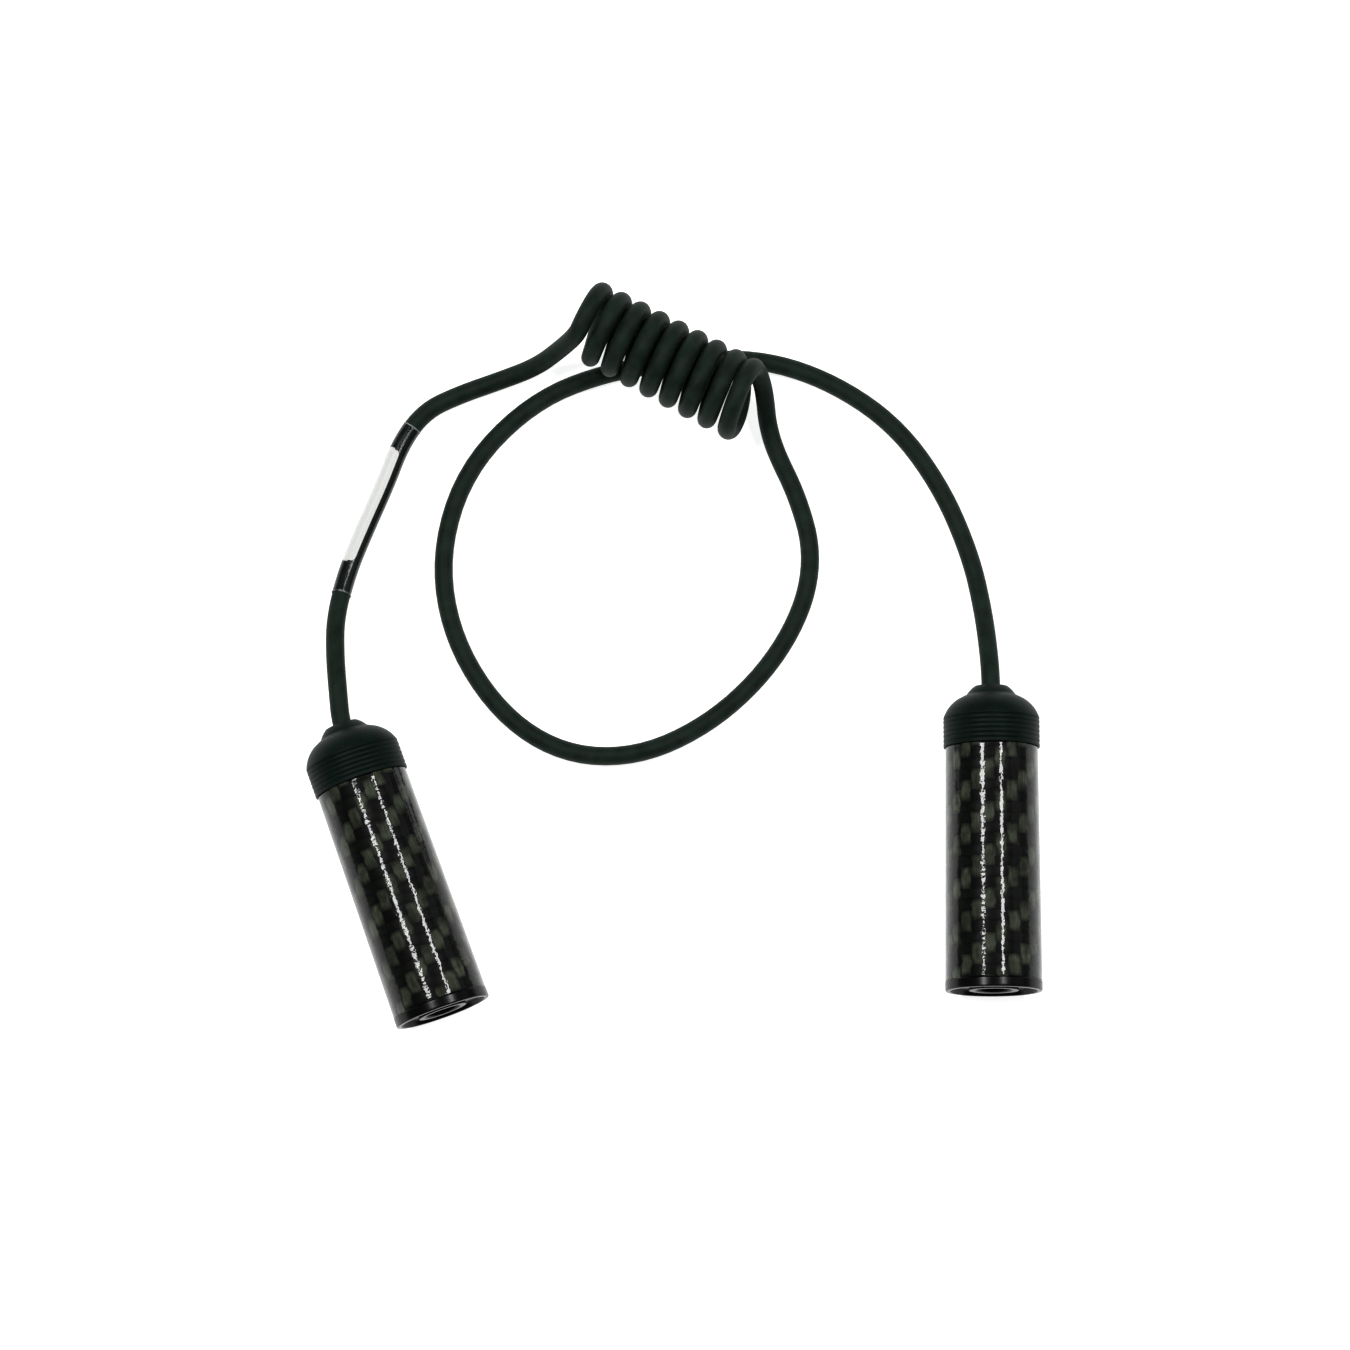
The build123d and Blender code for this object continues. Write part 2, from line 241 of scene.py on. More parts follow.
def carbon_twill():
    """2/2 twill carbon fibre in epoxy under a thick clear coat: satin floats painted lighter or darker by
    their direction, a painted sheen for how they take the light, below a glassy, slightly rippled surface.
    Its UV map counts tows."""
    made, tree, shader = material("carbon_twill", {
        "IOR": 1.5, "Specular IOR Level": 0.12, "Coat Weight": 1.0, "Coat Roughness": 0.05, "Coat IOR": 1.33,
    })
    uv = add(tree, "UVMap", uv_map="tows").outputs["UV"]
    parts = add(tree, "SeparateXYZ", {"Vector": uv})
    around, along = parts.outputs["X"], parts.outputs["Y"]
    wobble = add(tree, "TexNoise", {"Vector": uv, "Scale": 1.1, "Detail": 2.5}).outputs["Fac"]
    shift = add(tree, "MapRange", {"Value": wobble, "To Min": -0.28, "To Max": 0.28}).outputs["Result"]
    around = add(tree, "Math", {0: around, 1: shift}, operation="ADD").outputs[0]
    along = add(tree, "Math", {0: along, 1: shift}, operation="SUBTRACT").outputs[0]
    column = add(tree, "Math", {0: around}, operation="FLOOR").outputs[0]
    row = add(tree, "Math", {0: along}, operation="FLOOR").outputs[0]
    step = add(tree, "Math", {0: row, 1: column}, operation="SUBTRACT").outputs[0]
    phase = add(tree, "Math", {0: step, 1: 4.0}, operation="FLOORED_MODULO").outputs[0]
    lengthwise = add(tree, "Math", {0: phase, 1: 1.5}, operation="LESS_THAN").outputs[0]
    across_column = add(tree, "Math", {0: around}, operation="FRACT").outputs[0]
    across_row = add(tree, "Math", {0: along}, operation="FRACT").outputs[0]
    across = add(tree, "Mix", {"Factor": lengthwise, "A": across_row, "B": across_column}).outputs["Result"]
    # the crown of each tow, low at its two edges
    centred = add(tree, "Math", {0: across, 1: 0.5}, operation="SUBTRACT").outputs[0]
    squared = add(tree, "Math", {0: centred, 1: centred}, operation="MULTIPLY").outputs[0]
    crown = add(tree, "Math", {0: squared, 1: -4.0, 2: 1.0}, operation="MULTIPLY_ADD").outputs[0]
    # where along its float of two tows a place lies
    float_up = add(tree, "Math", {0: phase, 1: across_row}, operation="ADD").outputs[0]
    other = add(tree, "Math", {0: phase, 1: 2.0}, operation="SUBTRACT").outputs[0]
    back = add(tree, "Math", {0: 1.0, 1: across_column}, operation="SUBTRACT").outputs[0]
    float_side = add(tree, "Math", {0: other, 1: back}, operation="ADD").outputs[0]
    on_float = add(tree, "Mix", {"Factor": lengthwise, "A": float_side, "B": float_up}).outputs["Result"]
    arch = add(tree, "Math", {0: on_float, 1: pi / 2}, operation="MULTIPLY").outputs[0]
    swell = add(tree, "Math", {0: arch}, operation="SINE").outputs[0]
    height = add(tree, "Math", {0: crown, 1: swell}, operation="MULTIPLY").outputs[0]
    # single filaments run along each tow; real ones are 7 microns, drawn 0.18 mm apart
    stretched_up = add(tree, "Mapping", {"Vector": uv, "Scale": (14.0, 0.5, 1.0)}).outputs["Vector"]
    stretched_side = add(tree, "Mapping", {"Vector": uv, "Scale": (0.5, 14.0, 1.0)}).outputs["Vector"]
    hair_up = add(tree, "TexNoise", {"Vector": stretched_up, "Scale": 1.0, "Detail": 2.0}).outputs["Fac"]
    hair_side = add(tree, "TexNoise", {"Vector": stretched_side, "Scale": 1.0, "Detail": 2.0}).outputs["Fac"]
    hair = add(tree, "Mix", {"Factor": lengthwise, "A": hair_side, "B": hair_up}).outputs["Result"]
    # painted sheen: lengthwise floats get the light tones and crosswise floats the dark ones, standing in for
    # the tube lights catching fibres that run along the sleeve
    dark = ramp(tree, hair, ((0.30, "090f0b"), (0.70, "181e17")))
    light = ramp(tree, hair, ((0.25, "333a2f"), (0.75, "696f5e")))
    float_tone_and_sheen = add(
        tree, "Mix", {"Factor": lengthwise, "A": dark, "B": light}, data_type="RGBA",
    ).outputs["Result"]
    # painted shade: each float is darkened towards its edges and ends, where the tow dips under its
    # neighbours
    shade = ramp(tree, height, ((0.0, "6c6c6c"), (0.55, "ffffff")))
    # resin and tow tension vary over the cloth
    patchy = add(tree, "TexNoise", {"Vector": uv, "Scale": 0.6, "Detail": 2.0}).outputs["Fac"]
    resin = ramp(tree, patchy, ((0.36, "a0a09a"), (0.62, "ffffff")))
    shaded = add(
        tree, "Mix", {"Factor": 1.0, "A": float_tone_and_sheen, "B": shade}, data_type="RGBA", blend_type="MULTIPLY",
    ).outputs["Result"]
    tone = add(
        tree, "Mix", {"Factor": 1.0, "A": shaded, "B": resin}, data_type="RGBA", blend_type="MULTIPLY",
    ).outputs["Result"]
    tree.links.new(tone, shader.inputs["Base Color"])
    rough = add(tree, "MapRange", {"Value": hair, "To Min": 0.32, "To Max": 0.5}).outputs["Result"]
    tree.links.new(rough, shader.inputs["Roughness"])
    weave = add(tree, "Bump", {"Height": height, "Strength": 0.6, "Distance": 0.12 * MM}).outputs["Normal"]
    tree.links.new(weave, shader.inputs["Normal"])
    # orange peel in the clear coat, about 1 mm across
    peel = add(tree, "TexNoise", {"Vector": uv, "Scale": 2.3, "Detail": 1.5, "Roughness": 0.5}).outputs["Fac"]
    ripple = add(tree, "Bump", {"Height": peel, "Strength": 0.5, "Distance": 0.09 * MM}).outputs["Normal"]
    tree.links.new(ripple, shader.inputs["Coat Normal"])
    return made


def moulded_nylon():
    """Injection-moulded black nylon: near black with a cool cast, satin, with a fine eroded grain.
    The real grain is 0.05 mm, drawn 0.22 mm so that it shows."""
    made, tree, shader = material("moulded_nylon", {"IOR": 1.53, "Specular IOR Level": 0.14})
    place = add(tree, "TexCoord").outputs["Object"]
    grain = add(tree, "TexNoise", {"Vector": place, "Scale": 1 / (0.22 * MM), "Detail": 2.0}).outputs["Fac"]
    cloud = add(tree, "TexNoise", {"Vector": place, "Scale": 1 / (4.0 * MM), "Detail": 3.0}).outputs["Fac"]
    tone = ramp(tree, cloud, ((0.30, "0e1e19"), (0.70, "182a24")))
    tree.links.new(tone, shader.inputs["Base Color"])
    rough = add(tree, "MapRange", {"Value": cloud, "To Min": 0.42, "To Max": 0.58}).outputs["Result"]
    tree.links.new(rough, shader.inputs["Roughness"])
    bump = add(tree, "Bump", {"Height": grain, "Strength": 0.25, "Distance": 0.03 * MM}).outputs["Normal"]
    tree.links.new(bump, shader.inputs["Normal"])
    return made


def polished_acetal():
    """Turned and polished black acetal: deep black and glossy, with faint turning rings 0.2 mm apart."""
    made, tree, shader = material("polished_acetal", {"IOR": 1.48, "Specular IOR Level": 0.3})
    uv = add(tree, "UVMap", uv_map="turned").outputs["UV"]
    place = add(tree, "TexCoord").outputs["Object"]
    cloud = add(tree, "TexNoise", {"Vector": place, "Scale": 1 / (2.0 * MM), "Detail": 3.0}).outputs["Fac"]
    tone = ramp(tree, cloud, ((0.30, "050706"), (0.70, "0a0d0b")))
    tree.links.new(tone, shader.inputs["Base Color"])
    depth = add(tree, "SeparateXYZ", {"Vector": uv}).outputs["Y"]
    rings = add(
        tree, "TexNoise", {"W": depth, "Scale": 5.0, "Detail": 2.0}, noise_dimensions="1D",
    ).outputs["Fac"]
    rough = add(tree, "MapRange", {"Value": cloud, "To Min": 0.2, "To Max": 0.3}).outputs["Result"]
    tree.links.new(rough, shader.inputs["Roughness"])
    bump = add(tree, "Bump", {"Height": rings, "Strength": 0.2, "Distance": 0.01 * MM}).outputs["Normal"]
    tree.links.new(bump, shader.inputs["Normal"])
    return made


def pvc_jacket():
    """Extruded soft PVC: matt black, clouded, with a 0.35 mm grain and a little dust."""
    made, tree, shader = material("pvc_jacket", {"IOR": 1.5, "Specular IOR Level": 0.22})
    place = add(tree, "TexCoord").outputs["Object"]
    cloud = add(tree, "TexNoise", {"Vector": place, "Scale": 1 / (3.0 * MM), "Detail": 4.0}).outputs["Fac"]
    grain = add(tree, "TexNoise", {"Vector": place, "Scale": 1 / (0.35 * MM), "Detail": 3.0}).outputs["Fac"]
    specks = add(
        tree, "TexVoronoi", {"Vector": place, "Scale": 1 / (2.2 * MM)}, feature="F1",
    ).outputs["Distance"]
    tone = ramp(tree, cloud, ((0.30, "1c2a22"), (0.70, "2b3b32")))
    dust = add(
        tree, "MapRange",
        {"Value": specks, "From Min": 0.035, "From Max": 0.06, "To Min": 0.35, "To Max": 0.0},
    ).outputs["Result"]
    dusted = add(
        tree, "Mix", {"Factor": dust, "A": tone, "B": colour("3a413c")}, data_type="RGBA",
    ).outputs["Result"]
    tree.links.new(dusted, shader.inputs["Base Color"])
    rough = add(tree, "MapRange", {"Value": cloud, "To Min": 0.52, "To Max": 0.68}).outputs["Result"]
    tree.links.new(rough, shader.inputs["Roughness"])
    bump = add(tree, "Bump", {"Height": grain, "Strength": 0.3, "Distance": 0.04 * MM}).outputs["Normal"]
    tree.links.new(bump, shader.inputs["Normal"])
    return made


def moulded_rubber():
    """Moulded black rubber: matt, with a soft grain of about 0.3 mm."""
    made, tree, shader = material(
        "moulded_rubber", {"IOR": 1.5, "Roughness": 0.75, "Specular IOR Level": 0.2},
    )
    place = add(tree, "TexCoord").outputs["Object"]
    grain = add(tree, "TexNoise", {"Vector": place, "Scale": 1 / (0.3 * MM), "Detail": 2.0}).outputs["Fac"]
    tone = ramp(tree, grain, ((0.3, "0d100e"), (0.7, "181d1a")))
    tree.links.new(tone, shader.inputs["Base Color"])
    bump = add(tree, "Bump", {"Height": grain, "Strength": 0.3, "Distance": 0.04 * MM}).outputs["Normal"]
    tree.links.new(bump, shader.inputs["Normal"])
    return made


def turned_metal(name, low, high, roughness, line):
    """Metal off a lathe: fine rings round the axis, line mm apart, and slight tarnish."""
    made, tree, shader = material(name, {"Metallic": 1.0})
    uv = add(tree, "UVMap", uv_map="turned").outputs["UV"]
    depth = add(tree, "SeparateXYZ", {"Vector": uv}).outputs["Y"]
    rings = add(
        tree, "TexNoise", {"W": depth, "Scale": 1 / line, "Detail": 3.0}, noise_dimensions="1D",
    ).outputs["Fac"]
    place = add(tree, "TexCoord").outputs["Object"]
    cloud = add(tree, "TexNoise", {"Vector": place, "Scale": 1 / (2.5 * MM), "Detail": 3.0}).outputs["Fac"]
    tone = ramp(tree, cloud, ((0.3, low), (0.7, high)))
    tree.links.new(tone, shader.inputs["Base Color"])
    rough = add(
        tree, "MapRange", {"Value": rings, "To Min": roughness * 0.7, "To Max": roughness * 1.3},
    ).outputs["Result"]
    tree.links.new(rough, shader.inputs["Roughness"])
    bump = add(tree, "Bump", {"Height": rings, "Strength": 0.35, "Distance": 0.01 * MM}).outputs["Normal"]
    tree.links.new(bump, shader.inputs["Normal"])
    return made


def rolled_metal(name, low, high, roughness):
    """Rolled strip or plated small parts: soft clouding and short rolling marks."""
    made, tree, shader = material(name, {"Metallic": 1.0})
    place = add(tree, "TexCoord").outputs["Object"]
    cloud = add(tree, "TexNoise", {"Vector": place, "Scale": 1 / (1.5 * MM), "Detail": 3.0}).outputs["Fac"]
    marks = add(tree, "TexNoise", {"Vector": place, "Scale": 1 / (0.2 * MM), "Detail": 2.0}).outputs["Fac"]
    tone = ramp(tree, cloud, ((0.3, low), (0.7, high)))
    tree.links.new(tone, shader.inputs["Base Color"])
    rough = add(
        tree, "MapRange", {"Value": marks, "To Min": roughness * 0.7, "To Max": roughness * 1.3},
    ).outputs["Result"]
    tree.links.new(rough, shader.inputs["Roughness"])
    bump = add(tree, "Bump", {"Height": marks, "Strength": 0.2, "Distance": 0.01 * MM}).outputs["Normal"]
    tree.links.new(bump, shader.inputs["Normal"])
    return made


def vulcanised_fibre():
    """Grey vulcanised fibre, the board that insulates jacks: matt, with pressed fibres 0.4 mm wide."""
    made, tree, shader = material("vulcanised_fibre", {"IOR": 1.5, "Roughness": 0.7})
    place = add(tree, "TexCoord").outputs["Object"]
    fibres = add(tree, "TexNoise", {"Vector": place, "Scale": 1 / (0.4 * MM), "Detail": 5.0}).outputs["Fac"]
    tone = ramp(tree, fibres, ((0.3, "4a5058"), (0.7, "6b7178")))
    tree.links.new(tone, shader.inputs["Base Color"])
    bump = add(tree, "Bump", {"Height": fibres, "Strength": 0.3, "Distance": 0.03 * MM}).outputs["Normal"]
    tree.links.new(bump, shader.inputs["Normal"])
    return made


def moulded_phenolic():
    """Brown moulded phenolic: glossy, with the flow marks of its wood-flour filler."""
    made, tree, shader = material("moulded_phenolic", {"IOR": 1.6, "Roughness": 0.3})
    place = add(tree, "TexCoord").outputs["Object"]
    flow = add(
        tree, "TexNoise", {"Vector": place, "Scale": 1 / (1.2 * MM), "Detail": 5.0, "Distortion": 1.2},
    ).outputs["Fac"]
    tone = ramp(tree, flow, ((0.3, "3a1c0e"), (0.7, "5e3019")))
    tree.links.new(tone, shader.inputs["Base Color"])
    return made


def wire_insulation():
    """Extruded PVC on hook-up wire, one colour to each quarter round the socket's axis."""
    quarters = ((0.0, "a8231f"), (0.25, "e4e4de"), (0.5, "2f7d3b"), (0.75, "17191a"))
    made, tree, shader = material("wire_insulation", {"IOR": 1.5, "Roughness": 0.4})
    uv = add(tree, "UVMap", uv_map="quarter").outputs["UV"]
    quarter = add(tree, "SeparateXYZ", {"Vector": uv}).outputs["X"]
    made_ramp = add(tree, "ValToRGB", {"Fac": quarter})
    band = made_ramp.color_ramp
    band.interpolation = "CONSTANT"
    for _ in range(2):
        band.elements.new(0.5)
    for element, (place, code) in zip(band.elements, quarters):
        element.position = place
        element.color = colour(code)
    tree.links.new(made_ramp.outputs["Color"], shader.inputs["Base Color"])
    return made


def label_paper():
    """The label's printable white patch: satin vinyl with a faint tooth of 0.3 mm."""
    made, tree, shader = material("label_paper", {"IOR": 1.45, "Roughness": 0.35})
    place = add(tree, "TexCoord").outputs["Object"]
    tooth = add(tree, "TexNoise", {"Vector": place, "Scale": 1 / (0.3 * MM), "Detail": 2.0}).outputs["Fac"]
    tone = ramp(tree, tooth, ((0.3, "f6f7f4"), (0.7, "fdfefc")))
    tree.links.new(tone, shader.inputs["Base Color"])
    bump = add(tree, "Bump", {"Height": tooth, "Strength": 0.15, "Distance": 0.02 * MM}).outputs["Normal"]
    tree.links.new(bump, shader.inputs["Normal"])
    return made


def label_film():
    """Clear vinyl film drawn tight on the black jacket: the jacket's colour under the film's gloss."""
    made, tree, shader = material("label_film", {"IOR": 1.5, "Roughness": 0.22, "Specular IOR Level": 0.45})
    place = add(tree, "TexCoord").outputs["Object"]
    haze = add(tree, "TexNoise", {"Vector": place, "Scale": 1 / (2.0 * MM), "Detail": 2.0}).outputs["Fac"]
    tone = ramp(tree, haze, ((0.3, "161c19"), (0.7, "232b27")))
    tree.links.new(tone, shader.inputs["Base Color"])
    ripple = add(tree, "Bump", {"Height": haze, "Strength": 0.4, "Distance": 0.05 * MM}).outputs["Normal"]
    tree.links.new(ripple, shader.inputs["Normal"])
    return made


def film_edge_highlight():
    """Painted highlight: the over-wrap's cut ends, painted milky grey where the film looks milky because
    light leaves it there.
    """
    made, tree, shader = material("film_edge_highlight", {"IOR": 1.5, "Roughness": 0.4})
    place = add(tree, "TexCoord").outputs["Object"]
    fleck = add(tree, "TexNoise", {"Vector": place, "Scale": 1 / (0.8 * MM), "Detail": 2.0}).outputs["Fac"]
    tone = ramp(tree, fleck, ((0.35, "3c4340"), (0.65, "a9afab")))
    tree.links.new(tone, shader.inputs["Base Color"])
    return made


def studio_floor():
    """A white light table: an opal sheet lit from below, brightest in the middle."""
    made, tree, shader = material(
        "studio_floor", {"Roughness": 0.9, "Specular IOR Level": 0.1, "Emission Color": colour("ffffff")},
    )
    place = add(tree, "TexCoord").outputs["Object"]
    tooth = add(tree, "TexNoise", {"Vector": place, "Scale": 400.0, "Detail": 2.0}).outputs["Fac"]
    tone = ramp(tree, tooth, ((0.3, "f4f5f5"), (0.7, "f7f8f8")))
    tree.links.new(tone, shader.inputs["Base Color"])
    away = add(tree, "VectorMath", {0: place, 1: LOOK_AT}, operation="DISTANCE").outputs["Value"]
    glow = add(
        tree, "MapRange", {"Value": away, "From Min": 0.22, "From Max": 0.9, "To Min": 0.85, "To Max": 0.15},
        interpolation_type="SMOOTHSTEP",
    ).outputs["Result"]
    tree.links.new(glow, shader.inputs["Emission Strength"])
    return made


carbon = carbon_twill()
nylon = moulded_nylon()
acetal = polished_acetal()
jacket = pvc_jacket()
rubber = moulded_rubber()
nickel = turned_metal("nickel_plate", "a39c90", "c9c3b8", 0.22, 0.12)
aluminium = turned_metal("turned_aluminium", "9a9c9e", "b9babb", 0.32, 0.15)
tin = rolled_metal("tinned_brass", "a8a398", "c4bfb2", 0.35)
bronze = rolled_metal("phosphor_bronze", "a87a45", "c9985c", 0.28)
zinc = rolled_metal("zinc_plated_steel", "8b8d90", "a9abad", 0.35)
fibre = vulcanised_fibre()
phenolic = moulded_phenolic()
insulation = wire_insulation()
paper = label_paper()
film = label_film()
edge_highlight = film_edge_highlight()


# ---- Turned pieces ------------------------------------------------------------------------
BEZEL_RADIUS, CAP_RADIUS = 9.775, 9.725   # mm
CAP_START, CAP_END = 49.5, 62.0           # mm behind the face
BORE_RADIUS, BUSHING_RADIUS = 3.6, 4.3    # mm
BUSHING_START = 1.25                      # mm behind the face
GROOVES, GROOVE_PITCH = 6, 0.95           # the cap's grip, mm


def new_piece(name, bm, made):
    """Turns a bmesh into a smooth-shaded object with the material, its place in its mesh."""
    mesh = bpy.data.meshes.new(name)
    bm.to_mesh(mesh)
    bm.free()
    mesh.shade_smooth()
    piece = bpy.data.objects.new(name, mesh)
    bpy.context.scene.collection.objects.link(piece)
    mesh.materials.append(made)
    return piece


def unroll(bm, name, per_turn, per_depth):
    """Writes a UV map: how far round in per_turn units, how deep in per_depth mm. The seam is below."""
    layer = bm.loops.layers.uv.new(name)
    for face in bm.faces:
        turns = [(atan2(loop.vert.co.x, -loop.vert.co.y) / (2 * pi)) % 1.0 for loop in face.loops]
        crosses = max(turns) - min(turns) > 0.5
        for loop, turn in zip(face.loops, turns):
            if crosses and turn < 0.5:
                turn += 1.0
            loop[layer].uv = (turn * per_turn, loop.vert.co.z / MM / per_depth)


def hold_flats(bm):
    """Split every long edge of a section close to both its ends, so that the shading of a flat stays
    flat up to the rounding beside it."""
    for edge in bm.edges[:]:
        if edge.calc_length() > 4 * FLAT_HELD:
            for end in edge.verts[:]:
                bmesh.utils.edge_split(edge, end, FLAT_HELD / edge.calc_length())


def turned(name, tag, outline, made, rounding=0.12, uv=("turned", 1.0, 1.0)):
    """A turned piece from its half section: (depth, radius) corners in mm, rounded and spun."""
    bm = bmesh.new()
    corners = [bm.verts.new((0, radius * MM, depth * MM)) for depth, radius in outline]
    bm.faces.new(corners)
    bmesh.ops.bevel(
        bm, geom=corners, offset=rounding * MM, affect="VERTICES", segments=3, profile=0.5, material=-1,
    )
    bmesh.ops.delete(bm, geom=bm.faces[:], context="FACES_ONLY")
    hold_flats(bm)
    edges = bm.edges[:]
    bmesh.ops.spin(
        bm, geom=edges + list({v for e in edges for v in e.verts}), cent=(0, 0, 0), axis=(0, 0, 1),
        angle=2 * pi, steps=SPIN_STEPS, use_merge=True, use_duplicate=False,
    )
    bmesh.ops.remove_doubles(bm, verts=bm.verts, dist=0.0005 * MM)
    bmesh.ops.recalc_face_normals(bm, faces=bm.faces)
    unroll(bm, *uv)
    bm.transform(PLACES[tag])
    bm.normal_update()
    return new_piece(f"{name}_{tag}", bm, made)


def arc(start, end, bulge, steps):
    """Points from start to end, both left out, along a curve that stands off the chord by bulge mm."""
    (z0, r0), (z1, r1) = start, end
    normal = Vector((r0 - r1, z1 - z0)).normalized()
    points = []
    for step in range(1, steps):
        share = step / steps
        stand = 4 * bulge * share * (1 - share)
        points.append((z0 + (z1 - z0) * share + normal.x * stand, r0 + (r1 - r0) * share + normal.y * stand))
    return points


def cap_outline():
    """Half section of the rear cap: spigot core, grip rings, dome and boss."""
    outline = [(43.2, 6.7), (43.2, 7.4), (CAP_START, 7.55), (CAP_START, CAP_RADIUS)]
    for groove in range(GROOVES):
        middle = 50.4 + GROOVE_PITCH * groove
        outline += [(middle - 0.2, CAP_RADIUS), (middle, 9.5), (middle + 0.2, CAP_RADIUS)]
    dome_start, dome_end = (55.5, CAP_RADIUS), (59.3, 6.85)
    outline += [dome_start, *arc(dome_start, dome_end, 0.42, 8), dome_end]
    boss_start, boss_end = (60.25, 5.0), (CAP_END, 3.4)
    outline += [boss_start, *arc(boss_start, boss_end, 0.12, 5), boss_end]
    outline += [(CAP_END, 2.9), (58.8, 2.9), (58.8, 4.0), (57.2, 6.7)]
    return outline


def screw_thread(name, tag, made):
    """The cap's right-hand male thread: a ridge of 1.5 mm pitch wound round the spigot's core."""
    pitch, turns, core, crest = 1.5, 3.4, 7.45, 8.0
    bm = bmesh.new()
    corners = [
        bm.verts.new((0, radius * MM, depth * MM))
        for depth, radius in ((43.35, core), (43.75, crest), (43.95, crest), (44.35, core))
    ]
    ridge = bm.faces.new(corners)
    bmesh.ops.spin(
        bm, geom=[ridge], cent=(0, 0, 0), axis=(0, 0, 1), dvec=(0, 0, pitch * MM / THREAD_STEPS),
        angle=2 * pi * turns, steps=round(THREAD_STEPS * turns), use_merge=False, use_duplicate=False,
    )
    bmesh.ops.recalc_face_normals(bm, faces=bm.faces)
    unroll(bm, "turned", 1.0, 1.0)
    bm.transform(PLACES[tag])
    return new_piece(f"{name}_{tag}", bm, made)


def make_socket(tag):
    """The visible turned pieces of one socket, each on its body and in its CAD node's place."""
    barrel = f"barrel_{tag}"
    pieces = []
    sleeve = turned(
        "sleeve", tag, ((2.0, 9.75), (49.4, 9.35), (49.4, 8.8), (2.0, 9.2)), carbon,
        rounding=0.15, uv=("tows", TOWS_AROUND, TOW),
    )
    pieces.append((sleeve, barrel, f"carbon_sleeve_{tag}", "carbon"))
    shell = turned(
        "shell", tag,
        ((5.0, 9.17), (49.3, 8.79), (49.3, 8.05), (42.8, 8.05), (42.8, 7.2), (5.0, 7.2)),
        aluminium, rounding=0.1,
    )
    pieces.append((shell, barrel, f"barrel_shell_{tag}", "aluminium"))
    bezel = turned(
        "bezel", tag,
        (
            (0.9, 5.1), (0.9, 8.6), (0.0, 8.8), (0.0, 9.5), (0.08, 9.7), (0.3, BEZEL_RADIUS),
            (1.85, BEZEL_RADIUS), (2.0, 9.7), (2.0, 9.15), (4.95, 9.15), (4.95, 8.2), (2.9, 8.2), (2.9, 5.1),
        ),
        acetal, rounding=0.06,
    )
    pieces.append((bezel, barrel, f"front_bezel_{tag}", "black_nylon"))
    collar = turned(
        "collar", tag,
        (
            (0.15, 3.9), (0.15, 5.0), (3.0, 5.0), (3.0, 6.4), (9.0, 6.4), (9.0, BUSHING_RADIUS),
            (BUSHING_START, BUSHING_RADIUS), (BUSHING_START, BORE_RADIUS), (0.45, BORE_RADIUS),
        ),
        acetal, rounding=0.08,
    )
    pieces.append((collar, "root", f"nose_collar_{tag}", "black_nylon"))
    bushing = turned(
        "bushing", tag,
        (
            (BUSHING_START, BORE_RADIUS), (BUSHING_START, BUSHING_RADIUS), (11.2, BUSHING_RADIUS),
            (11.2, BORE_RADIUS),
        ),
        nickel,
    )
    pieces.append((bushing, "root", f"jack_bushing_{tag}", "nickel"))
    cap = turned("cap", tag, cap_outline(), nylon, rounding=0.06)
    pieces.append((cap, "root", f"rear_cap_{tag}", "black_nylon"))
    thread = screw_thread("cap_thread", tag, nylon)
    pieces.append((thread, "root", None, "black_nylon"))
    grommet = turned(
        "grommet", tag,
        (
            (59.5, 1.95), (57.9, 1.95), (57.9, 3.6), (58.8, 3.6), (58.8, 2.9), (62.05, 2.9), (62.05, 2.5),
            (61.2, 2.15), (60.4, 2.0),
        ),
        rubber, rounding=0.08,
    )
    pieces.append((grommet, "root", f"cable_grommet_{tag}", "black_rubber"))
    for piece, body, node, slot in pieces:
        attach(piece, body)
        if node:
            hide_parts(node)


for tag in SOCKETS:
    make_socket(tag)


# ---- The cord -----------------------------------------------------------------------------
def make_cord():
    """The jacket as a tube round the route's spline, its end caps joined on."""
    bm = bmesh.new()
    bm.from_mesh(spline_mesh("cord_tube", route, CORD_RADIUS))
    bmesh.ops.remove_doubles(bm, verts=bm.verts, dist=0.001 * MM)
    bmesh.ops.recalc_face_normals(bm, faces=bm.faces)
    piece = new_piece("cord", bm, jacket)
    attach(piece, "root")
    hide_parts("cord_lead_a", "cord_coil", "cord_loop")
    return piece


cord = make_cord()

# ---- The label ----------------------------------------------------------------------------
WRAP_FROM, WRAP_TO = -0.05, 1.02          # turns of the over-wrap round the cord
PATCH_FROM, PATCH_TO = 0.17, 0.85         # the white patch's part of the label's length
END_WIDTH = 0.3 * MM


def line_stretch(start, end):
    """The centre line's points from the one nearest start to the one nearest end."""
    first = min(range(len(centre_line)), key=lambda i: (centre_line[i] - start).length)
    last = min(range(len(centre_line)), key=lambda i: (centre_line[i] - end).length)
    return centre_line[first:last + 1]


